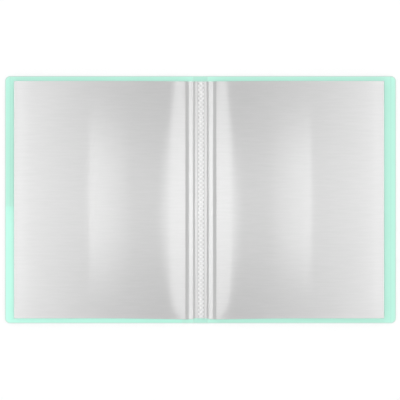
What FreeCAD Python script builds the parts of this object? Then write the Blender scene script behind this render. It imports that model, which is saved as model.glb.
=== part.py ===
import FreeCAD, Part
import Sketcher
import math
import os

# A clear-pocket album lying open at its middle spread, in millimetres.
# +X points to the right-hand page, +Y to the top of the pages and +Z up.
# The origin is the middle of the underside, on the table.

doc = FreeCAD.newDocument("pocket_album")
sheet = doc.addObject("Spreadsheet::Sheet", "Sizes")

driving_sizes = {
    # Cover: one sheet with two creases, so two boards and the spine between them
    "cover_height": 310.0,
    "board_width": 236.2,  # crease line to outer edge
    "board_thickness": 0.7,
    "board_corner": 6.4,
    "spine_width": 17.6,  # crease line to crease line
    "crease_gap": 0.1,
    "score_inset": 6.5,  # scored line beside each outer edge
    "score_width": 1.0,
    "score_depth": 0.15,
    # Half-height film pocket inside the front board
    "inner_pocket_height": 146.6,
    "inner_film": 0.15,
    "inner_gap": 0.1,
    "inner_seam": 3.0,
    "inner_inset": 3.0,  # how far it starts outside the page's inner edge
    # Leaves: each one pocket of two films, open at the top
    "pockets_each_side": 10,
    "leaf_height": 298.0,
    "left_reach": 233.8,  # middle of the spine to the left leaves' outer edge
    "right_reach": 230.3,
    "film_thickness": 0.1,
    "pocket_gap": 0.1,
    "seam_width": 2.0,
    "leaf_clearance": 0.06,
    "rest_clearance": 0.2,  # lowest leaf to the inner pocket
    # Inner margin of each leaf, from its crease up to the page
    "margin_start": 9.0,  # distances from the middle of the spine
    "riser_start": 15.0,
    "page_start": 20.0,
    "margin_thickness": 0.12,
    "margin_clearance": 0.036,
    "binding_clearance": 0.06,  # margins to the cover beneath
    # Binding: the welded middle of the sheets and a hinge strip on each side
    "weld_half_width": 3.95,
    "strip_inner": 4.15,
    "strip_outer": 8.6,
    "knurl_pitch": 5.3,
    "knurl_length": 3.4,
    "knurl_width": 1.5,
    "knurl_column": 2.6,
    "knurl_depth": 0.3,
    "knurl_end": 4.0,
}
for row, (name, value) in enumerate(driving_sizes.items(), start=1):
    sheet.set(f"A{row}", name)
    sheet.set(f"B{row}", str(value))
    sheet.setAlias(f"B{row}", name)
doc.recompute()

# Heights that several pieces share, written over the sheet's cells
board_top = "Sizes.board_thickness"
inner_top = f"({board_top} + Sizes.inner_gap + Sizes.inner_film)"
stack_base = f"({inner_top} + Sizes.rest_clearance)"
leaf_thickness = "(2 * Sizes.film_thickness + Sizes.pocket_gap)"
leaf_pitch = f"({leaf_thickness} + Sizes.leaf_clearance)"
margin_base = f"({board_top} + Sizes.binding_clearance)"
margin_pitch = "(Sizes.margin_thickness + Sizes.margin_clearance)"
binding_top = f"({margin_base} + Sizes.pockets_each_side * {margin_pitch} - Sizes.margin_clearance)"
half_leaf = "Sizes.leaf_height / 2"
half_cover = "Sizes.cover_height / 2"
reach_of = {"left": "Sizes.left_reach", "right": "Sizes.right_reach"}

# Each side is drawn with its local x running outwards, and turned to its place
turn_of = {"left": 180.0, "right": 0.0}
foot_of = {"left": 1.0, "right": -1.0}  # local y of the bottom edge of the pages
hand_of = {"left": -1.0, "right": 1.0}

YAXIS = -2
ORIGIN = (-1, 1)
START, END, CENTRE = range(1, 4)

nodes = []


def origin_plane(body, role):
    return next(f for f in body.Origin.OriginFeatures if f.Role == role)


def new_sketch(body, name, role, height=None):
    sketch = body.newObject("Sketcher::SketchObject", name)
    sketch.AttachmentSupport = (origin_plane(body, role), [""])
    sketch.MapMode = "FlatFace"
    if height:
        sketch.setExpression("AttachmentOffset.Base.z", height)
    return sketch


def bind(sketch, kind, places, expression):
    value = float(sketch.evalExpression(expression))
    index = sketch.addConstraint(Sketcher.Constraint(kind, *places, value))
    sketch.setExpression(f"Constraints[{index}]", expression)


def rectangle(sketch, left, right, foot, top):
    # Four joined lines, drawn where these expressions put them; the caller adds the sizes
    x0, x1, y0, y1 = [float(sketch.evalExpression(edge)) for edge in (left, right, foot, top)]
    points = [FreeCAD.Vector(x, y, 0) for x, y in ((x0, y0), (x1, y0), (x1, y1), (x0, y1))]
    for index in range(4):
        sketch.addGeometry(Part.LineSegment(points[index], points[(index + 1) % 4]))
    for index in range(4):
        sketch.addConstraint(Sketcher.Constraint("Coincident", index, END, (index + 1) % 4, START))
    for index in (0, 2):
        sketch.addConstraint(Sketcher.Constraint("Horizontal", index))
        sketch.addConstraint(Sketcher.Constraint("Vertical", index + 1))


def pad_both_ways(body, name, sketch, length):
    pad = body.newObject("PartDesign::Pad", name)
    pad.Profile = sketch
    pad.SideType = "Symmetric"
    pad.setExpression("Length", length)
    doc.recompute()
    return pad


def upright_edges_at(shape, x):
    # Names of the edges that run along Z at this local x
    found = []
    for index, edge in enumerate(shape.Edges, start=1):
        first, last = edge.Vertexes[0].Point, edge.Vertexes[-1].Point
        upright = abs(first.z - last.z) > 0.9 * edge.Length
        if upright and abs(first.x - x) < 1e-6:
            found.append((f"Edge{index}", first.y))
    return found


def place_side(thing, side, outwards=None):
    thing.Placement = FreeCAD.Placement(
        FreeCAD.Vector(0, 0, 0),
        FreeCAD.Rotation(FreeCAD.Vector(0, 0, 1), turn_of[side]),
    )
    if outwards:
        thing.setExpression("Placement.Base.x", f"{hand_of[side]} * {outwards}")


def keep(thing, label):
    thing.Label = label
    nodes.append(thing)


def box(name, length, width, height, at_x, at_y, at_z):
    block = doc.addObject("Part::Box", name)
    block.setExpression("Length", length)
    block.setExpression("Width", width)
    block.setExpression("Height", height)
    block.setExpression("Placement.Base.x", at_x)
    block.setExpression("Placement.Base.y", at_y)
    block.setExpression("Placement.Base.z", at_z)
    return block


def cover_board(side, label):
    # A board with a half-round nose on its crease line and a scored line beside its outer edge
    body = doc.addObject("PartDesign::Body", f"Body_{label}")
    profile = new_sketch(body, f"Profile_{label}", "XZ_Plane")
    width = driving_sizes["board_width"]
    thick = driving_sizes["board_thickness"]
    corners = [(0, 0), (width, 0), (width, thick), (0, thick)]
    points = [FreeCAD.Vector(x, y, 0) for x, y in corners]
    for first, last in zip(points[:-1], points[1:]):
        profile.addGeometry(Part.LineSegment(first, last))
    nose = Part.Circle(FreeCAD.Vector(0, thick / 2, 0), FreeCAD.Vector(0, 0, 1), thick / 2)
    profile.addGeometry(Part.ArcOfCircle(nose, 0.5 * math.pi, 1.5 * math.pi))
    under, edge, upper, arc = range(4)
    add = profile.addConstraint
    add(Sketcher.Constraint("Coincident", under, END, edge, START))
    add(Sketcher.Constraint("Coincident", edge, END, upper, START))
    add(Sketcher.Constraint("Coincident", upper, END, arc, START))
    add(Sketcher.Constraint("Coincident", arc, END, under, START))
    add(Sketcher.Constraint("Coincident", under, START, *ORIGIN))
    add(Sketcher.Constraint("PointOnObject", upper, END, YAXIS))
    add(Sketcher.Constraint("PointOnObject", arc, CENTRE, YAXIS))
    add(Sketcher.Constraint("Horizontal", under))
    add(Sketcher.Constraint("Vertical", edge))
    bind(profile, "DistanceX", (under, START, under, END), "Sizes.board_width")
    bind(profile, "DistanceY", (edge, START, edge, END), "Sizes.board_thickness")
    pad = pad_both_ways(body, f"Pad_{label}", profile, "Sizes.cover_height")

    corner = body.newObject("PartDesign::Fillet", f"Corners_{label}")
    outer_x = float(sheet.get("board_width"))
    corner.Base = (pad, [name for name, _ in upright_edges_at(pad.Shape, outer_x)])
    corner.setExpression("Radius", "Sizes.board_corner")
    doc.recompute()

    groove = new_sketch(body, f"Score_profile_{label}", "XZ_Plane")
    middle = width - driving_sizes["score_inset"]
    half = driving_sizes["score_width"] / 2
    deep = driving_sizes["score_depth"]
    tips = [(middle - half, thick), (middle + half, thick), (middle, thick - deep)]
    tips = [FreeCAD.Vector(x, y, 0) for x, y in tips]
    for index in range(3):
        groove.addGeometry(Part.LineSegment(tips[index], tips[(index + 1) % 3]))
    for index in range(3):
        groove.addConstraint(Sketcher.Constraint("Coincident", index, END, (index + 1) % 3, START))
    groove.addConstraint(Sketcher.Constraint("Horizontal", 0))
    groove.addConstraint(Sketcher.Constraint("Equal", 1, 2))
    bind(groove, "DistanceX", (0, START, 0, END), "Sizes.score_width")
    bind(groove, "DistanceY", (2, START, 2, END), "Sizes.score_depth")
    bind(groove, "DistanceX", (*ORIGIN, 1, END), "Sizes.board_width - Sizes.score_inset")
    bind(groove, "DistanceY", (*ORIGIN, 0, START), "Sizes.board_thickness")
    score = body.newObject("PartDesign::Pocket", f"Score_{label}")
    score.Profile = groove
    score.SideType = "Symmetric"
    score.setExpression("Length", "2 * Sizes.cover_height")
    place_side(body, side, "Sizes.spine_width / 2")
    keep(body, label)


def spine_panel():
    # The strip of the cover between the two creases, clear of the boards' noses
    width = "(Sizes.spine_width - Sizes.board_thickness - 2 * Sizes.crease_gap)"
    panel = box(
        "Spine", width, "Sizes.cover_height", board_top, f"-{width} / 2", f"-{half_cover}", "0"
    )
    keep(panel, "spine_panel")


def inner_pocket():
    # Half-height film welded inside the front board along three edges, with its mouth at the top
    side = "left"
    label = "inner_pocket"
    body = doc.addObject("PartDesign::Body", "Body_inner_film")
    height = f"({board_top} + Sizes.inner_gap)"
    start = "(Sizes.page_start + Sizes.inner_inset - Sizes.spine_width / 2)"
    outline = new_sketch(body, "Outline_inner_film", "XY_Plane", height)
    mouth = f"({half_cover} - Sizes.inner_pocket_height)"
    rectangle(outline, start, "Sizes.board_width", mouth, half_cover)
    bind(outline, "DistanceX", (*ORIGIN, 0, START), start)
    bind(outline, "DistanceX", (*ORIGIN, 0, END), "Sizes.board_width")
    bind(outline, "DistanceY", (*ORIGIN, 2, START), half_cover)
    bind(outline, "DistanceY", (1, START, 1, END), "Sizes.inner_pocket_height")
    pad = body.newObject("PartDesign::Pad", "Pad_inner_film")
    pad.Profile = outline
    pad.setExpression("Length", "Sizes.inner_film")
    doc.recompute()
    corner = body.newObject("PartDesign::Fillet", "Corner_inner_film")
    outer = upright_edges_at(pad.Shape, float(sheet.get("board_width")))
    corner.Base = (pad, [max(outer, key=lambda found: found[1])[0]])
    corner.setExpression("Radius", "Sizes.board_corner")

    foot = f"({half_cover})"
    upright = "(Sizes.inner_pocket_height - Sizes.board_corner)"
    along = f"(Sizes.board_width - Sizes.board_corner - {start})"
    seam, gap = "Sizes.inner_seam", "Sizes.inner_gap"
    seams = [
        box("Inner_seam_outer", seam, upright, gap, f"Sizes.board_width - {seam}", mouth, board_top),
        box("Inner_seam_spine", seam, f"Sizes.inner_pocket_height - {seam}", gap, start, mouth, board_top),
        box("Inner_seam_foot", along, seam, gap, start, f"{foot} - {seam}", board_top),
    ]
    pocket = doc.addObject("Part::Compound", "Inner_pocket")
    pocket.Links = [body] + seams
    place_side(pocket, side, "Sizes.spine_width / 2")
    keep(pocket, label)


def binding_strip(side, label):
    # The sheets' margins pressed into one strip between the weld and the leaves' creases
    width = "(Sizes.strip_outer - Sizes.strip_inner)"
    strip = box(
        f"Strip_{side}",
        width,
        "Sizes.leaf_height",
        f"{binding_top} - {margin_base}",
        "Sizes.strip_inner" if side == "right" else "-Sizes.strip_outer",
        f"-{half_leaf}",
        margin_base,
    )
    keep(strip, label)


def diamond(sketch, x, y):
    # Four lines around a centre point; x and y are (sign, expression) from the origin, or None
    half_x = driving_sizes["knurl_width"] / 2
    half_y = driving_sizes["knurl_length"] / 2
    centre_x = x[0] * driving_sizes["knurl_column"] if x else 0.0
    centre_y = -float(sketch.evalExpression(y))
    tips = [(half_x, 0), (0, half_y), (-half_x, 0), (0, -half_y)]
    tips = [FreeCAD.Vector(centre_x + a, centre_y + b, 0) for a, b in tips]
    first = sketch.GeometryCount
    for index in range(4):
        sketch.addGeometry(Part.LineSegment(tips[index], tips[(index + 1) % 4]))
    point = sketch.addGeometry(Part.Point(FreeCAD.Vector(centre_x, centre_y, 0)), True)
    add = sketch.addConstraint
    for index in range(4):
        add(Sketcher.Constraint("Coincident", first + index, END, first + (index + 1) % 4, START))
    right, top, left, foot = [(first + index, START) for index in range(4)]
    add(Sketcher.Constraint("Symmetric", *right, *left, point, START))
    add(Sketcher.Constraint("Symmetric", *top, *foot, point, START))
    add(Sketcher.Constraint("Horizontal", *right, *left))
    add(Sketcher.Constraint("Vertical", *top, *foot))
    bind(sketch, "DistanceX", (*left, *right), "Sizes.knurl_width")
    bind(sketch, "DistanceY", (*foot, *top), "Sizes.knurl_length")
    if x is None:
        add(Sketcher.Constraint("PointOnObject", point, START, YAXIS))
    elif x[0] > 0:
        bind(sketch, "DistanceX", (*ORIGIN, point, START), x[1])
    else:
        bind(sketch, "DistanceX", (point, START, *ORIGIN), x[1])
    bind(sketch, "DistanceY", (point, START, *ORIGIN), y)


def sheet_weld():
    # The middles of the sheets, fused and pressed with three staggered columns of diamonds
    body = doc.addObject("PartDesign::Body", "Body_sheet_weld")
    outline = new_sketch(body, "Outline_sheet_weld", "XY_Plane", board_top)
    half_width = "Sizes.weld_half_width"
    rectangle(outline, f"-{half_width}", half_width, f"-{half_leaf}", half_leaf)
    outline.addConstraint(Sketcher.Constraint("Symmetric", 0, START, 2, START, *ORIGIN))
    bind(outline, "DistanceX", (0, START, 0, END), "2 * Sizes.weld_half_width")
    bind(outline, "DistanceY", (1, START, 1, END), "Sizes.leaf_height")
    pad = body.newObject("PartDesign::Pad", "Pad_sheet_weld")
    pad.Profile = outline
    pad.setExpression("Length", f"{binding_top} - {board_top}")
    doc.recompute()

    pits = new_sketch(body, "Knurl_sketch", "XY_Plane", binding_top)
    first_row = f"({half_leaf} - Sizes.knurl_end)"
    diamond(pits, (-1, "Sizes.knurl_column"), first_row)
    diamond(pits, (1, "Sizes.knurl_column"), first_row)
    diamond(pits, None, f"{first_row} - Sizes.knurl_pitch / 2")
    pressed = body.newObject("PartDesign::Pocket", "Knurl_pits")
    pressed.Profile = pits
    pressed.setExpression("Length", "Sizes.knurl_depth")
    doc.recompute()
    rows = body.newObject("PartDesign::LinearPattern", "Knurl_rows")
    rows.Originals = [pressed]
    rows.Direction = (pits, ["V_Axis"])
    rows.Mode = "Spacing"
    rows.setExpression("Offset", "Sizes.knurl_pitch")
    run = "(Sizes.leaf_height - 2 * Sizes.knurl_end - Sizes.knurl_pitch / 2)"
    rows.setExpression("Occurrences", f"floor({run} / Sizes.knurl_pitch) + 1")
    body.Tip = rows
    keep(body, "sheet_weld")


def riser(name, low, high):
    # Sloping plate from the flat margin up to the page, the same thickness at both ends
    plate = doc.addObject("Part::Wedge", name)
    for prefix in ("X", "X2"):
        plate.setExpression(f"{prefix}min", f"-{half_leaf}")
        plate.setExpression(f"{prefix}max", half_leaf)
    plate.setExpression("Ymin", "Sizes.riser_start")
    plate.setExpression("Ymax", "Sizes.page_start")
    for prefix, height in (("Z", low), ("Z2", high)):
        plate.setExpression(f"{prefix}min", height)
        plate.setExpression(f"{prefix}max", f"{height} + Sizes.margin_thickness")
    plate.Placement = FreeCAD.Placement(
        FreeCAD.Vector(0, 0, 0), FreeCAD.Rotation(FreeCAD.Vector(0, 0, 1), -90.0)
    )
    return plate


def leaf(side, level, number):
    # One pocket: the film beneath carries the margin and the three seams, the upper film lies on them
    name = f"{side}_{number:02d}"
    low = f"({margin_base} + {level} * {margin_pitch})"
    page = f"({stack_base} + {level} * {leaf_pitch})"
    film, gap, seam = "Sizes.film_thickness", "Sizes.pocket_gap", "Sizes.seam_width"
    start, reach = "Sizes.page_start", reach_of[side]
    width = f"({reach} - {start})"
    foot = f"-{half_leaf}"
    bottom = f"({half_leaf} - {seam})" if foot_of[side] > 0 else foot
    between = f"({page} + {film})"
    upright_foot = foot if foot_of[side] > 0 else f"({foot} + {seam})"
    upright = f"(Sizes.leaf_height - {seam})"
    lower = [
        box(f"Film_{name}", width, "Sizes.leaf_height", film, start, foot, page),
        box(f"Seam_foot_{name}", width, seam, gap, start, bottom, between),
        box(f"Seam_in_{name}", seam, upright, gap, start, upright_foot, between),
        box(f"Seam_out_{name}", seam, upright, gap, f"{reach} - {seam}", upright_foot, between),
        box(
            f"Margin_{name}",
            "Sizes.riser_start - Sizes.margin_start",
            "Sizes.leaf_height",
            "Sizes.margin_thickness",
            "Sizes.margin_start",
            foot,
            low,
        ),
        riser(f"Riser_{name}", low, page),
    ]
    carrier = doc.addObject("Part::Compound", f"Carrier_{name}")
    carrier.Links = lower
    top = f"({between} + {gap})"
    face = box(f"Face_{name}", width, "Sizes.leaf_height", film, start, foot, top)
    cover = doc.addObject("Part::Compound", f"Upper_{name}")
    cover.Links = [face]
    # A left-hand leaf has been turned over, so its back film is the upper one
    beneath, above = ("front", "back") if side == "left" else ("back", "front")
    for thing, which in ((carrier, beneath), (cover, above)):
        place_side(thing, side)
        keep(thing, f"pocket_{number:02d}_{which}_film")


def failed(thing):
    return "Invalid" in thing.State or "Error" in thing.State


cover_board("left", "front_cover")
cover_board("right", "back_cover")
spine_panel()
inner_pocket()
sheet_weld()
binding_strip("left", "front_hinge_strip")
binding_strip("right", "back_hinge_strip")
pockets = int(sheet.get("pockets_each_side"))
for level in range(pockets):
    leaf("left", level, level + 1)
    leaf("right", level, 2 * pockets - level)
doc.recompute()

broken = [thing.Name for thing in doc.Objects if failed(thing)]
for node in nodes:
    if node.Shape.isNull() or not node.Shape.isValid():
        broken.append(node.Label)
if broken:
    raise RuntimeError(f"not built: {broken}")

os.makedirs("parts", exist_ok=True)
for node in nodes:
    node.Shape.exportStep(f"parts/{node.Label}.step")
print(f"{len(nodes)} pieces written")
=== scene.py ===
import math

import bpy
import numpy as np
from mathutils import Matrix, Vector


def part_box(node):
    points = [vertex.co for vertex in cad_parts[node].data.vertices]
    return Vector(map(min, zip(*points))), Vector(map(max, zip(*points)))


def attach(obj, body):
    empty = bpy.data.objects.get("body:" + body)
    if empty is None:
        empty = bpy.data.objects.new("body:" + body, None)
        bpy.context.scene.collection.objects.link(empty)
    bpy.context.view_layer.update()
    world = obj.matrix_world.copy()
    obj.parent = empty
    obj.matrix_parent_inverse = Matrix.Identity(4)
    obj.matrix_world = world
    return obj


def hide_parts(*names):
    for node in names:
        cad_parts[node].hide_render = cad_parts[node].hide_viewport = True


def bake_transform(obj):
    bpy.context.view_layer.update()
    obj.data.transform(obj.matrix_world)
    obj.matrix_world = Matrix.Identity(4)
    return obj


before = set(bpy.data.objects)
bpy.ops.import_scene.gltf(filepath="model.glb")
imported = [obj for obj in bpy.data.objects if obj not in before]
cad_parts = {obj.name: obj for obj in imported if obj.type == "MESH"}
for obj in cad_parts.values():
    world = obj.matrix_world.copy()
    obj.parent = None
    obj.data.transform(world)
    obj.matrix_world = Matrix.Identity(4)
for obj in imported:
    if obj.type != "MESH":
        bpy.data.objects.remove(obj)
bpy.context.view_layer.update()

mm = 0.001
sharpFrom = math.radians(38)  # faces that meet at more than this keep a sharp edge


# sampling and shaping helpers

def steps(*runs):  # sorted samples of several (from, to, count) runs, shared ends once
    return np.unique(np.round(np.concatenate([np.linspace(*run) for run in runs]), 5))


def ramp(low, high, value):  # smooth step: 0 at low, 1 at high, flat at both ends
    t = np.clip((value - low) / (high - low), 0, 1)
    return t * t * (3 - 2 * t)


def bell(middle, width, value):  # exp of minus the squared distance over the width
    return np.exp(-((value - middle) / width) ** 2)


def nodeSpan(name):  # a node's box in millimetres
    low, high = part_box(name)
    return np.array(low) / mm, np.array(high) / mm


def sheetMesh(name, x, y, top, under, marks):
    # two surfaces z = top(x, y) and z = under(x, y) on one grid, closed by a ring of quads round the border
    columns, rows = x.shape
    count = columns * rows
    index = np.arange(count).reshape(columns, rows)
    corners = (index[:-1, :-1], index[1:, :-1], index[1:, 1:], index[:-1, 1:])
    quads = np.stack(corners, axis=-1).reshape(-1, 4)
    ring = np.concatenate([index[:, 0], index[-1, 1:], index[-2::-1, -1], index[0, -2:0:-1]])
    after = np.roll(ring, -1)
    wall = np.stack([ring + count, after + count, after, ring], axis=-1)
    faces = np.concatenate([quads, quads[:, ::-1] + count, wall])
    if x[-1, 0] < x[0, 0]:
        faces = faces[:, ::-1]  # columns that run towards -X
    points = np.concatenate([np.stack([x, y, z], axis=-1).reshape(-1, 3) for z in (top, under)])
    mesh = bpy.data.meshes.new(name)
    mesh.from_pydata((points * mm).tolist(), [], faces.tolist())
    mesh.polygons.foreach_set("use_smooth", np.ones(len(faces), bool))
    mesh.set_sharp_from_angle(angle=sharpFrom)
    for label, values in marks.items():
        layer = mesh.attributes.new(label, "FLOAT", "POINT")
        layer.data.foreach_set("value", np.tile(values.ravel(), 2).astype(np.float32))
    return mesh


def newPiece(name, mesh, material, stands):
    piece = bpy.data.objects.new(name, mesh)
    bpy.context.scene.collection.objects.link(piece)
    mesh.materials.append(material)
    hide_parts(*stands)
    return piece


def put(tree, kind, values=None, **settings):  # one shader node with its settings and plain input values
    made = tree.nodes.new(kind)
    for key, value in settings.items():
        setattr(made, key, value)
    for key, value in (values or {}).items():
        made.inputs[key].default_value = value
    return made


# camera, light and room

# metres; across is the picture's width at the plane of the cover's top, the sensor is in millimetres
view = {"height": 2.2, "across": 0.5014, "middle": (-0.0006, -0.0004), "plane": 0.0007, "sensor": 36.0}
lens = bpy.data.cameras.new("spreadCamera")
lens.sensor_width = view["sensor"]
lens.lens = view["sensor"] * (view["height"] - view["plane"]) / view["across"]
eye = bpy.data.objects.new("spreadCamera", lens)
eye.location = (*view["middle"], view["height"])  # looks straight down, page tops upwards
bpy.context.scene.collection.objects.link(eye)
bpy.context.scene.camera = eye


def fadeLamp(data, lamp):
    # lamp face from -1 to 1 both ways, with a smooth fall from a share of the way out to the rim: "soft" by
    # the radius, with the distance across times 1 plus a taper times the squared distance along; "outwards"
    # by the distance along, times the share across from the spine's side to a power
    kind, fallFrom, shaping = lamp["fade"]
    data.use_nodes = True
    tree = data.node_tree
    link = tree.links.new
    spot = put(tree, "ShaderNodeNewGeometry")
    face = put(tree, "ShaderNodeVectorMath", {1: (2, 2, 0), 2: (-1, -1, 0)}, operation="MULTIPLY_ADD")
    place = put(tree, "ShaderNodeSeparateXYZ")
    rim = {"From Min": 1.0, "From Max": fallFrom}
    fall = put(tree, "ShaderNodeMapRange", rim, interpolation_type="SMOOTHSTEP")
    link(spot.outputs["Parametric"], face.inputs[0])
    link(face.outputs["Vector"], place.inputs["Vector"])
    across, along, level = place.outputs["X"], place.outputs["Y"], fall.outputs["Result"]
    if kind == "soft":
        square = put(tree, "ShaderNodeMath", operation="MULTIPLY")
        taper = put(tree, "ShaderNodeMath", {1: shaping, 2: 1.0}, operation="MULTIPLY_ADD")
        wide = put(tree, "ShaderNodeMath", operation="MULTIPLY")
        spread = put(tree, "ShaderNodeCombineXYZ")
        radius = put(tree, "ShaderNodeVectorMath", operation="LENGTH")
        link(along, square.inputs[0])
        link(along, square.inputs[1])
        link(square.outputs["Value"], taper.inputs[0])
        link(across, wide.inputs[0])
        link(taper.outputs["Value"], wide.inputs[1])
        link(wide.outputs["Value"], spread.inputs["X"])
        link(along, spread.inputs["Y"])
        link(spread.outputs["Vector"], radius.inputs[0])
        link(radius.outputs["Value"], fall.inputs["Value"])
    else:
        outer = math.copysign(1, lamp["at"][0])
        distance = put(tree, "ShaderNodeMath", operation="ABSOLUTE")
        share = put(tree, "ShaderNodeMapRange", {"From Min": -outer, "From Max": outer})
        power = put(tree, "ShaderNodeMath", {1: shaping}, operation="POWER")
        both = put(tree, "ShaderNodeMath", operation="MULTIPLY")
        link(along, distance.inputs[0])
        link(distance.outputs["Value"], fall.inputs["Value"])
        link(across, share.inputs["Value"])
        link(share.outputs["Result"], power.inputs[0])
        link(power.outputs["Value"], both.inputs[0])
        link(level, both.inputs[1])
        level = both.outputs["Value"]
    link(level, tree.nodes["Emission"].inputs["Strength"])


# size across and along in metres, brightness of the lamp's face, and the fade: kind, where the fall starts,
# and the taper or the power
card = {"size": (0.70, 1.4), "glow": 11.8, "shape": "RECTANGLE", "fade": ("outwards", 0.7, 1.4)}
band = {"size": (0.096, 0.64), "glow": 3.5, "shape": "RECTANGLE", "fade": ("outwards", 0.2, 0.7)}
spineOval = {"size": (0.28, 1.42), "glow": 5.2, "shape": "ELLIPSE", "fade": ("soft", 0.5, 2.6)}
middleOval = {"size": (1.2, 0.6), "glow": 1.5, "shape": "ELLIPSE", "fade": ("soft", 0.1, 0.0)}
endBox = {"size": (1.0, 0.4), "shape": "RECTANGLE"}
lamps = {
    "cardLeft": {"at": (-0.47, 0, 2.6), **card},
    "cardRight": {"at": (0.47, 0, 2.6), **card},
    "bandLeft": {"at": (-0.248, 0, 2.55), **band},
    "bandRight": {"at": (0.248, 0, 2.55), **band},
    "spineGlow": {"at": (0, -0.03, 2.57), **spineOval},
    "middleGlow": {"at": (0, 0, 2.65), **middleOval},
    "headBox": {"at": (0, 1.6, 1.7), "glow": 1.4, **endBox},
    "footBox": {"at": (0, -1.6, 1.7), "glow": 1.1, **endBox},
}
for name, lamp in lamps.items():
    data = bpy.data.lights.new(name, "AREA")
    data.shape = lamp["shape"]
    data.size, data.size_y = lamp["size"]
    area = lamp["size"][0] * lamp["size"][1] * (math.pi / 4 if lamp["shape"] == "ELLIPSE" else 1.0)
    data.energy = lamp["glow"] * math.pi * area
    if "fade" in lamp:
        fadeLamp(data, lamp)
    light = bpy.data.objects.new(name, data)
    back = Vector(lamp["at"]).normalized()  # faces the middle of the spread, long side along the pages
    right = Vector((0, 1, 0)).cross(back).normalized()
    turn = Matrix((right, back.cross(right), back)).transposed()
    light.matrix_world = Matrix.Translation(lamp["at"]) @ turn.to_4x4()
    light.visible_camera = False
    bpy.context.scene.collection.objects.link(light)

room = {"walls": 1.17, "ceiling": 0.22, "from": 0.35, "to": 0.9}  # pale walls, a darker ceiling
world = bpy.data.worlds.new("paleRoom")
world.use_nodes = True
bpy.context.scene.world = world
tree = world.node_tree
backdrop = tree.nodes["Background"]
backdrop.inputs["Color"].default_value = (1, 1, 1, 1)
direction = put(tree, "ShaderNodeTexCoord")
upward = put(tree, "ShaderNodeSeparateXYZ")
# from the walls to the ceiling by the direction's height
heights = {
    "From Min": room["from"], "From Max": room["to"], "To Min": room["walls"], "To Max": room["ceiling"],
}
fill = put(tree, "ShaderNodeMapRange", heights, interpolation_type="SMOOTHSTEP")
tree.links.new(direction.outputs["Generated"], upward.inputs["Vector"])
tree.links.new(upward.outputs["Z"], fill.inputs["Value"])
tree.links.new(fill.outputs["Result"], backdrop.inputs["Strength"])

bpy.context.scene.view_settings.view_transform = "Standard"
print("camera, lamps and room set")


# shader groups

def newGroup(name, takes, gives):
    group = bpy.data.node_groups.new(name, "ShaderNodeTree")
    for label, kind, value in takes:
        socket = group.interface.new_socket(label, in_out="INPUT", socket_type=kind)
        socket.default_value = value
    for label, kind in gives:
        group.interface.new_socket(label, in_out="OUTPUT", socket_type=kind)
    return group, group.nodes.new("NodeGroupInput"), group.nodes.new("NodeGroupOutput")


def grainGroup():
    # stretched noise: the place times Stretch, through Detail octaves, as a mask from 0 to 1
    takes = [("Stretch", "NodeSocketVector", (1, 1, 1)), ("Detail", "NodeSocketFloat", 2.0)]
    gives = [("Mask", "NodeSocketFloat")]
    group, start, end = newGroup("pressedGrain", takes, gives)
    place = put(group, "ShaderNodeTexCoord")
    scaled = put(group, "ShaderNodeVectorMath", operation="MULTIPLY")
    noise = put(group, "ShaderNodeTexNoise", {"Scale": 1.0, "Roughness": 0.55})
    spread = put(group, "ShaderNodeMapRange", {"From Min": 0.3, "From Max": 0.7})
    link = group.links.new
    link(place.outputs["Object"], scaled.inputs[0])
    link(start.outputs["Stretch"], scaled.inputs[1])
    link(scaled.outputs["Vector"], noise.inputs["Vector"])
    link(start.outputs["Detail"], noise.inputs["Detail"])
    link(noise.outputs["Fac"], spread.inputs["Value"])
    link(spread.outputs["Result"], end.inputs["Mask"])
    return group


def toneGroup():
    # a colour times (1 - Depth * Mask)
    takes = [
        ("Color", "NodeSocketColor", (1, 1, 1, 1)),
        ("Mask", "NodeSocketFloat", 0.0),
        ("Depth", "NodeSocketFloat", 0.05),
    ]
    group, start, end = newGroup("toneByMask", takes, [("Color", "NodeSocketColor")])
    depth = put(group, "ShaderNodeMath", operation="MULTIPLY")
    share = put(group, "ShaderNodeMath", {0: 1.0}, operation="SUBTRACT")
    scaled = put(group, "ShaderNodeVectorMath", operation="SCALE")
    link = group.links.new
    link(start.outputs["Mask"], depth.inputs[0])
    link(start.outputs["Depth"], depth.inputs[1])
    link(depth.outputs["Value"], share.inputs[1])
    link(start.outputs["Color"], scaled.inputs[0])
    link(share.outputs["Value"], scaled.inputs["Scale"])
    link(scaled.outputs["Vector"], end.inputs["Color"])
    return group


grain = grainGroup()
tone = toneGroup()
fineDetail = 3.0  # octaves of the fine grain


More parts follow.
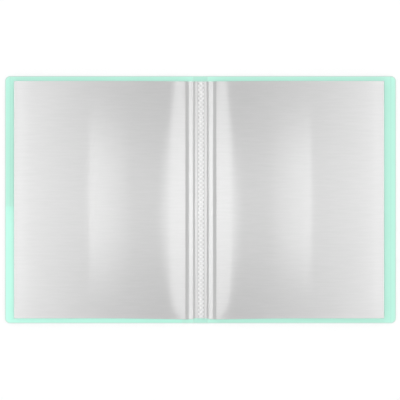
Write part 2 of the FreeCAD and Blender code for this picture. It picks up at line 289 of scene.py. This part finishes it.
def finish(name, look):
    # base colour toned by a slow drift and a fine grain, marked along an edge attribute; grain also as bump
    material = bpy.data.materials.new(name)
    material.use_nodes = True
    tree = material.node_tree
    surface = tree.nodes["Principled BSDF"]
    link = tree.links.new
    base = {"Color": (*look["colour"], 1), "Depth": look["driftDepth"]}
    drift = put(tree, "ShaderNodeGroup", {"Stretch": look["drift"]}, node_tree=grain)
    fine = put(tree, "ShaderNodeGroup", {"Stretch": look["grain"], "Detail": fineDetail}, node_tree=grain)
    slow = put(tree, "ShaderNodeGroup", base, node_tree=tone)
    quick = put(tree, "ShaderNodeGroup", {"Depth": look["grainDepth"]}, node_tree=tone)
    edge = put(tree, "ShaderNodeAttribute", attribute_name=look["edge"])
    marked = put(tree, "ShaderNodeMix", {"B": (*look["edgeColour"], 1)}, data_type="RGBA")
    rough = put(tree, "ShaderNodeMapRange", {"To Min": look["rough"][0], "To Max": look["rough"][1]})
    bump = put(tree, "ShaderNodeBump", {"Strength": look["bump"], "Distance": look["bumpDepth"]})
    link(drift.outputs["Mask"], slow.inputs["Mask"])
    link(slow.outputs["Color"], quick.inputs["Color"])
    link(fine.outputs["Mask"], quick.inputs["Mask"])
    toned = quick.outputs["Color"]
    if "paintedShadeDepth" in look:  # painted shade: a zone of the same sheet drawn a little darker
        shade = put(tree, "ShaderNodeAttribute", attribute_name="shade")
        shaded = put(tree, "ShaderNodeGroup", {"Depth": look["paintedShadeDepth"]}, node_tree=tone)
        link(toned, shaded.inputs["Color"])
        link(shade.outputs["Fac"], shaded.inputs["Mask"])
        toned = shaded.outputs["Color"]
    link(toned, marked.inputs["A"])
    link(edge.outputs["Fac"], marked.inputs["Factor"])
    link(marked.outputs["Result"], surface.inputs["Base Color"])
    link(fine.outputs["Mask"], rough.inputs["Value"])
    link(rough.outputs["Result"], surface.inputs["Roughness"])
    link(fine.outputs["Mask"], bump.inputs["Height"])
    link(bump.outputs["Normal"], surface.inputs["Normal"])
    for socket, value in look["gloss"].items():
        surface.inputs[socket].default_value = value
    return material


coverLook = {
    "colour": (0.532, 0.936, 0.787), "drift": (9, 7, 9), "driftDepth": 0.03,
    "grain": (1900, 1900, 1900), "grainDepth": 0.035, "bump": 0.25, "bumpDepth": 0.00003,
    "edge": "cutEdge", "edgeColour": (0.60, 0.76, 0.69), "paintedShadeDepth": 0.1,
    "rough": (0.58, 0.70), "gloss": {"IOR": 1.3},
}
innerLook = {
    "colour": (0.480, 0.955, 0.788), "drift": (12, 9, 12), "driftDepth": 0.03,
    "grain": (1500, 1500, 1500), "grainDepth": 0.02, "bump": 0.15, "bumpDepth": 0.00002,
    "edge": "seam", "edgeColour": (0.50, 0.93, 0.785),
    "rough": (0.32, 0.42), "gloss": {"IOR": 1.46, "Coat Weight": 0.15, "Coat Roughness": 0.12},
}
filmSheen = {"Coat Weight": 1.0, "Sheen Weight": 1.0, "Sheen Roughness": 0.6}
pocketLook = {
    # the seam mark's lighter colour is the seal lines' tone, and painted light on the pages' slopes and in
    # the crease
    "colour": (0.405, 0.405, 0.405), "drift": (7, 5, 7), "driftDepth": 0.02,
    "grain": (40, 480, 480), "grainDepth": 0.06, "bump": 0.015, "bumpDepth": 0.00003,
    "edge": "seam", "edgeColour": (0.66, 0.67, 0.665),
    "rough": (0.275, 0.29), "gloss": {"IOR": 1.7, "Coat Roughness": 0.035, **filmSheen},
}
# its near-white seam colour is a painted highlight on the knurl's crowns
bindingLook = {
    "colour": (0.66, 0.66, 0.66), "drift": (40, 20, 40), "driftDepth": 0.015,
    "grain": (300, 700, 700), "grainDepth": 0.02, "bump": 0.06, "bumpDepth": 0.00003,
    "edge": "seam", "edgeColour": (0.97, 0.97, 0.97),
    "rough": (0.25, 0.36), "gloss": {"IOR": 1.5, "Coat Roughness": 0.12, **filmSheen},
}
coverSheet = finish("mintCoverSheet", coverLook)
innerFilm = finish("mintInnerFilm", innerLook)
pocketFilm = finish("milkyPocketFilm", pocketLook)
bindingFilm = finish("weldedBindingFilm", bindingLook)
print("materials made")


# cover: one creased sheet, drawn as two halves that meet in the middle of the spine

cover = {
    "edgeRound": 0.3, "corner": 6.4, "cutEdge": (0.6, 1.2),  # the cut edge's tone ends between these insets
    "crease": 8.8, "creaseWidth": 0.5, "creaseDepth": (0.2, 0.1), "paled": 0.4,  # pressed from both sides, and a share of painted shade along the crease
    "score": 6.5, "scoreWidth": 0.45, "scoreDepth": 0.12, "scorePaintedShade": 0.7,
    "bend": (7.4, 10.2), "creaseZone": (7.0, 10.6), "plainTo": 232.0, "scoreZone": 1.0,
    "rim": 0.4, "rimColumns": 1.6, "rimRows": (0.6, 2.0), "plainRows": 2.6,  # insets where the grid widens
}


def outlineDistance(out, y, reach, half, corner):
    # distance inside a rectangle with rounded outer corners
    dx, dy = reach - out, half - np.abs(y)
    arc = corner - np.hypot(corner - dx, corner - dy)
    return np.where((dx < corner) & (dy < corner), arc, np.minimum(dx, dy))


def cornerHalf(out, reach, half, corner):
    # half height of the outline: straight, then a quarter circle over the last stretch of the reach
    inside = np.clip(out - (reach - corner), 0, corner)
    return half - corner + np.sqrt(np.maximum(corner**2 - inside**2, 0))


def coverHalf(side, board, name, stands):
    # flat sheet, less an edge rounding by distance, a pressed crease and a scored line
    low, high = nodeSpan(board)
    reach, half, thick = max(-low[0], high[0]), high[1], high[2]
    corner, rim, wide = cover["corner"], cover["rim"], cover["rimColumns"]
    first, last = cover["creaseZone"]
    plain = cover["plainTo"]
    scoreAt = reach - cover["score"]
    before, behind = scoreAt - cover["scoreZone"], scoreAt + cover["scoreZone"]
    out = steps(
        (0, first, 4), (first, last, 25), (last, plain, 24), (plain, before, 4), (before, behind, 13),
        (behind, reach - wide, 12), (reach - wide, reach - rim, 8), (reach - rim, reach, 8),
    )
    close, spaced = np.linspace(*cover["rimRows"], 8), np.geomspace(cover["plainRows"], half, 20)
    inward = np.concatenate([np.linspace(0, rim, 7), close, spaced])
    along = np.concatenate([-1 + inward / half, (1 - inward / half)[-2::-1]])
    x, share = np.meshgrid(out, along, indexing="ij")
    y = share * cornerHalf(x, reach, half, corner)
    inset = np.maximum(outlineDistance(x, y, reach, half, corner), 0)
    r = cover["edgeRound"]
    near = np.clip(r - inset, 0, r)
    rounding = r - np.sqrt(r**2 - near**2)
    crease = bell(cover["crease"], cover["creaseWidth"], x)
    score = bell(scoreAt, cover["scoreWidth"], x)
    above, below = cover["creaseDepth"]
    top = thick - rounding - above * crease - cover["scoreDepth"] * score
    under = rounding + below * crease
    cut = 1 - ramp(*cover["cutEdge"], inset)
    cutEdge = np.maximum(cut, cover["paled"] * crease)  # painted shade along the crease, drawn in the cut edge's tone
    # painted shade over the spine panel between the creases and along the scored line
    spine = ramp(cover["crease"] + cover["creaseWidth"], cover["crease"] - cover["creaseWidth"], x)
    shade = spine + cover["scorePaintedShade"] * score
    mesh = sheetMesh(name, side * x, y, top, under, {"cutEdge": cutEdge, "shade": shade})
    piece = newPiece(name, mesh, coverSheet, stands)
    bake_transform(piece)


coverHalf(-1, "front_cover", "frontCoverSheet", ["front_cover", "spine_panel"])
coverHalf(1, "back_cover", "backCoverSheet", ["back_cover"])
print("cover sheet made")


# half-height film inside the front board, welded on three edges

inner = {
    "inset": 1.0, "film": 0.15, "gap": 0.1, "clear": 0.01, "lift": (2.5, 8.0),  # insets where it rises
    "line": 2.4, "lineWidth": 0.5, "lineDepth": 0.03, "edgeZone": 10.0, "footShare": 0.07,  # closer grid
}


def innerPocket():
    # a film that lies on the board along its welded edges and stands a little proud between them
    high = nodeSpan("inner_pocket")[1]
    boardLow, boardHigh = nodeSpan("front_cover")
    edge, foot = -boardLow[0] - inner["inset"], boardHigh[1] - inner["inset"]
    start, zone = -high[0], inner["edgeZone"]
    out = steps((start, start + zone, 12), (start + zone, edge - zone, 24), (edge - zone, edge, 24))
    low = inner["footShare"]
    share = np.concatenate([np.linspace(0, low, 14), np.linspace(low, 1, 24)[1:]])
    x, t = np.meshgrid(out, share, indexing="ij")
    bottom = -cornerHalf(x, edge, foot, cover["corner"])
    y = bottom + t * (high[1] - bottom)
    sides = np.minimum(np.minimum(edge - x, x - start), y - bottom)
    line = bell(inner["line"], inner["lineWidth"], sides)
    under = boardHigh[2] + inner["clear"] + inner["gap"] * ramp(*inner["lift"], sides)
    top = under + inner["film"] - inner["lineDepth"] * line
    mesh = sheetMesh("innerPocketFilm", -x, y, top, under, {"seam": line})
    piece = newPiece("innerPocketFilm", mesh, innerFilm, ["inner_pocket"])
    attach(piece, "front_cover")


innerPocket()
print("inner pocket made")


# binding: the knurled weld and a hinge strip on each side of it

binding = {
    "trim": 1.2, "trimFrom": 11.0, "trimTo": 7.5,  # the sheets are shorter at the foot of the spine
    "base": 0.72, "clear": 0.01, "dive": 0.12, "diveFrom": 4.4, "diveTo": 3.4,
    "squeeze": 0.48, "valleyFrom": 7.45, "valleyAt": 9.7, "valleyEnd": 10.25, "valleyCurve": 1.4,
    "strip": (3.6, 9.0), "stripBend": (3.7, 5.4), "stripClose": 5.6,  # columns lie closer up to here
    "stripInset": 0.04, "stripTop": 0.14, "stripClear": 0.03,  # the strip stays inside the leaf margins
    "aside": 0.55, "asideFrom": 20.0, "asideTo": 80.0, "lower": 0.9,  # the block lies a little right and low
}


def aside(x):  # the whole block's shift to the right, fading out across the pages
    return x + binding["aside"] * (1 - ramp(binding["asideFrom"], binding["asideTo"], np.abs(x)))


def footTrim(out):  # how much higher the bottom edge runs near the spine
    return binding["trim"] * ramp(binding["trimFrom"], binding["trimTo"], out)


def pressed(out):
    # share of the margins' height left at a distance from the spine: a crease with a sharp outer side
    t = np.clip((out - binding["valleyFrom"]) / (binding["valleyAt"] - binding["valleyFrom"]), 0, 1)
    valley = t ** binding["valleyCurve"] * (1 - ramp(binding["valleyAt"], binding["valleyEnd"], out))
    inside = ramp(binding["diveFrom"], binding["diveTo"], out)
    return 1 - binding["squeeze"] * valley - binding["dive"] * inside


# flank is the painted highlight's share on the crowns between the side pits
knurl = {
    "pitch": 5.3, "column": 2.7, "half": (1.25, 1.6), "depth": 0.9, "end": 2.6, "flank": 0.35,
    "edge": 0.6, "edgeDrop": 0.25, "crown": 0.125, "gridColumns": 49, "gridRows": 8,  # rows for half a pitch
}


def pits(x, y, column, shift):
    # pyramids let into the surface: 1 less the diamond distance from the nearest pit of a column
    row = (y - shift) / knurl["pitch"]
    dy = (row - np.round(row)) * knurl["pitch"]
    return np.clip(1 - np.abs(x - column) / knurl["half"][0] - np.abs(dy) / knurl["half"][1], 0, 1)


def sheetWeld():
    # flat top with three staggered columns of pits and low crowns between them
    low, high = nodeSpan("sheet_weld")
    foot, head = low[1] + binding["trim"] - binding["lower"], high[1] - binding["lower"]
    first = foot + knurl["end"]
    half = knurl["pitch"] / 2
    step = half / knurl["gridRows"]
    numbers = np.arange(-math.ceil((first - foot) / step), math.ceil((head - first) / step) + 1)
    rows = np.unique(np.clip(first + step * numbers, foot, head))  # rows that meet the pits' middles
    x, y = np.meshgrid(np.linspace(low[0], high[0], knurl["gridColumns"]), rows, indexing="ij")
    side = pits(x, y, -knurl["column"], first) + pits(x, y, knurl["column"], first)
    middle = pits(x, y, 0.0, first + half)
    spine = pits(x, y, 0.0, first)
    flank = pits(x, y, -knurl["column"], first + half) + pits(x, y, knurl["column"], first + half)
    inset = np.minimum(high[0] - np.abs(x), np.minimum(y - foot, head - y))
    level = high[2] - knurl["edgeDrop"] * (1 - ramp(0, knurl["edge"], inset))
    top = level - knurl["depth"] * (side + middle) + knurl["crown"] * (spine + flank - 1)
    under = np.full_like(top, low[2] + binding["clear"])
    # the crowns carry the seam mark: a painted highlight in the near-white edge colour
    mesh = sheetMesh("knurledWeld", aside(x), y, top, under, {"seam": spine + knurl["flank"] * flank})
    piece = newPiece("knurledWeld", mesh, bindingFilm, ["sheet_weld"])
    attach(piece, "spine")


def hingeStrip(side, body, name):
    # the sheets' margins pressed together: the pressed height under the top leaf's margin
    low, high = nodeSpan(body)
    start, end = binding["strip"]
    out = steps((start, binding["stripClose"], 20), (binding["stripClose"], end, 18))
    x, t = np.meshgrid(out, np.linspace(0, 1, 12), indexing="ij")
    foot = low[1] + footTrim(x) - binding["lower"] + binding["stripInset"]
    y = foot + t * (high[1] - binding["lower"] - binding["stripInset"] - foot)
    rise = high[2] - binding["stripTop"] - binding["base"]
    top = binding["base"] + rise * pressed(x) - binding["stripClear"]
    under = np.full_like(top, binding["base"] + binding["clear"])
    mesh = sheetMesh(name, aside(side * x), y, top, under, {"seam": np.zeros_like(x)})
    piece = newPiece(name, mesh, bindingFilm, [body])
    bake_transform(piece)


sheetWeld()
hingeStrip(-1, "front_hinge_strip", "frontHingeStrip")
hingeStrip(1, "back_hinge_strip", "backHingeStrip")
print("binding made")


# leaves: each pocket is two films, the lower one running in to the weld

leaf = {
    "perSide": 10, "bend": (2.5, 5.0), "bendGrid": 5.2, "flat": 15.05, "page": 19.4, "riserCurve": 1.12,
    "film": 0.1, "margin": 0.12, "inset": 0.5, "seam": 2.0, "sealed": 14.0,
    "laid": 1.02, "opened": 0.98,  # upper film's height in film thicknesses: at the seal, and more between
    "sag": 0.2, "hang": 0.8, "wave": 0.2, "waveLength": 210.0,
    "paintedSlopeLight": 0.12, "paintedLightFullSlope": 0.5, "paintedCreaseLight": 0.7, "pressedWhite": 0.3,  # painted light on steep slopes and in the crease's valley; the pressed flat strip drawn lighter
    "sealWhite": 0.12, "sealLine": (0.6, 1.4),
    "droop": (1.17, 0.4), "droopReach": 130.0, "droopFull": 25.0,  # foot and top ends near the spine
    "pageGrid": 26.0, "rimGrid": 6.0, "sealGrid": 7.0,  # where rows and columns lie closer together
}


def pieceName(node):  # a node's words run together, each after the first with a capital
    first, *others = node.split("_")
    return first + "".join(word.capitalize() for word in others)


def sag(out, y, reach, share):
    # how far a page hangs between its edges: a squared sine across, a slow wave along
    u = np.clip((out - leaf["page"]) / (reach - leaf["page"]), 0, 1)
    wave = leaf["hang"] + leaf["wave"] * np.cos(2 * math.pi * y / leaf["waveLength"])
    return leaf["sag"] * share * np.sin(math.pi * u) ** 2 * wave


def alongLeaf(low, high):  # rows of a leaf, closer together beside its ends
    near = leaf["rimGrid"]
    return steps((low, low + near, 9), (low + near, high - near, 22), (high - near, high, 7))


def droop(out, y, low, high):
    # how far a leaf lies lower near the spine: a squared run from the page, the foot's shift to the top's
    near = np.clip((leaf["droopReach"] - out) / (leaf["droopReach"] - leaf["droopFull"]), 0, 1) ** 2
    t = (y - low) / (high - low)
    return near * (leaf["droop"][0] * (1 - t) + leaf["droop"][1] * t)


def innerEnd(margin):
    # where a lower film starts in the weld: a full turn lifts it by twice its depth below the turn's height,
    # and the share of the bend found here lifts it onto the weld's top
    weldTop = nodeSpan("sheet_weld")[1][2]
    turnHeight = nodeSpan(f"pocket_{leaf['perSide']:02d}_back_film")[1][2]
    rest = binding["base"] + (margin - binding["base"]) * (1 - binding["dive"])
    share = (weldTop - rest) / (2 * (turnHeight - rest))
    start, end = leaf["bend"]
    return start + (end - start) * share


def lowerFilm(side, share, lowNode, highNode):
    # margin pressed into the binding, flat strip, a riser that steepens towards the page, then the page
    low, high = nodeSpan(lowNode)
    pageLow, pageHigh = nodeSpan(highNode)
    reach = max(abs(pageLow[0]), abs(pageHigh[0])) - leaf["inset"]
    margin, page = low[2], pageLow[2] - 2 * leaf["film"]
    bend, riser, level = leaf["bendGrid"], leaf["flat"], leaf["page"]
    near, rim = leaf["pageGrid"], reach - leaf["rimGrid"]
    valley, deepest, ridge = binding["valleyFrom"], binding["valleyAt"], binding["valleyEnd"]
    out = steps(
        (innerEnd(margin), bend, 25), (bend, valley, 4), (valley, deepest, 14), (deepest, ridge, 12),
        (ridge, riser, 5), (riser, level, 16), (level, near, 8), (near, rim, 26), (rim, reach, 7),
    )
    foot, head = low[1] + leaf["inset"], high[1] - leaf["inset"]
    x, y = np.meshgrid(out, alongLeaf(foot, head), indexing="ij")
    y = head - (head - y) * (1 - footTrim(x) / (head - foot))
    y = y - droop(x, y, foot, head)
    press = pressed(x)
    rise = np.clip((x - riser) / (level - riser), 0, 1) ** leaf["riserCurve"]
    base = binding["base"] + (margin - binding["base"]) * press
    under = base + (page - base) * rise - sag(x, y, reach, share)
    thick = leaf["margin"] * press * (1 - rise) + leaf["film"] * rise
    # painted light: the film drawn lighter where it is steep and in the binding crease's valley; also
    # lighter over the flat pressed strip
    slope = np.abs(np.gradient(under[:, 0], out))
    slopeLightMark = leaf["paintedSlopeLight"] * np.clip(slope / leaf["paintedLightFullSlope"], 0, 1)
    creased = leaf["paintedCreaseLight"] * ramp(valley, deepest, out) * ramp(ridge, deepest, out)
    flat = leaf["pressedWhite"] * (1 - rise[:, 0]) * ramp(deepest, ridge, out)
    pale = np.maximum(slopeLightMark, np.maximum(creased, flat))[:, None] * np.ones_like(x)
    name = pieceName(lowNode)
    mesh = sheetMesh(name, aside(side * x), y, under + thick, under, {"seam": pale})
    piece = newPiece(name, mesh, pocketFilm, [lowNode])
    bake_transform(piece)


def upperFilm(side, share, highNode, body):
    # a film sealed to the lower one along three edges, open at the top of the page
    low, high = nodeSpan(highNode)
    reach = max(abs(low[0]), abs(high[0])) - leaf["inset"]
    foot, head = low[1] + leaf["inset"], high[1] - leaf["inset"]
    page = low[2] - 2 * leaf["film"]
    start, near = leaf["page"], leaf["sealGrid"]
    out = steps((start, start + near, 12), (start + near, reach - near, 28), (reach - near, reach, 12))
    x, y = np.meshgrid(out, alongLeaf(foot, head), indexing="ij")
    inset = np.minimum(np.minimum(x - start, reach - x), y - foot)
    lift = ramp(leaf["seam"], leaf["seam"] + leaf["sealed"], inset)
    under = page + leaf["film"] * (leaf["laid"] + leaf["opened"] * lift) - sag(x, y, reach, share)
    seam = leaf["sealWhite"] * (1 - ramp(*leaf["sealLine"], np.minimum(reach - x, y - foot)))
    y = y - droop(x, y, foot, head)
    name = pieceName(highNode)
    mesh = sheetMesh(name, aside(side * x), y, under + leaf["film"], under, {"seam": seam})
    piece = newPiece(name, mesh, pocketFilm, [highNode])
    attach(piece, body)


for side, strip, numbers, beneath, above in (
    (-1, "front_hinge_strip", range(1, leaf["perSide"] + 1), "front", "back"),
    (1, "back_hinge_strip", range(2 * leaf["perSide"], leaf["perSide"], -1), "back", "front"),
):
    for count, number in enumerate(numbers, start=1):
        body = f"pocket_{number:02d}"
        share = count / leaf["perSide"]  # higher leaves hang further
        lowNode, highNode = f"{body}_{beneath}_film", f"{body}_{above}_film"
        lowerFilm(side, share, lowNode, highNode)
        upperFilm(side, share, highNode, body)
print("leaves made")


# floor

floorLook = {"half": 4.0, "drop": 0.0004, "white": 0.98, "rough": 0.9}
far = floorLook["half"]
floorMesh = bpy.data.meshes.new("paleFloor")
spots = [(-far, -far), (far, -far), (far, far), (-far, far)]
floorMesh.from_pydata([(a, b, -floorLook["drop"]) for a, b in spots], [], [(0, 1, 2, 3)])
floorPaint = bpy.data.materials.new("paleFloor")
floorPaint.use_nodes = True
paint = floorPaint.node_tree.nodes["Principled BSDF"]
paint.inputs["Base Color"].default_value = (floorLook["white"],) * 3 + (1,)
paint.inputs["Roughness"].default_value = floorLook["rough"]
paint.inputs["Specular IOR Level"].default_value = 0.0
floorMesh.materials.append(floorPaint)
ground = bpy.data.objects.new("paleFloor", floorMesh)
bpy.context.scene.collection.objects.link(ground)
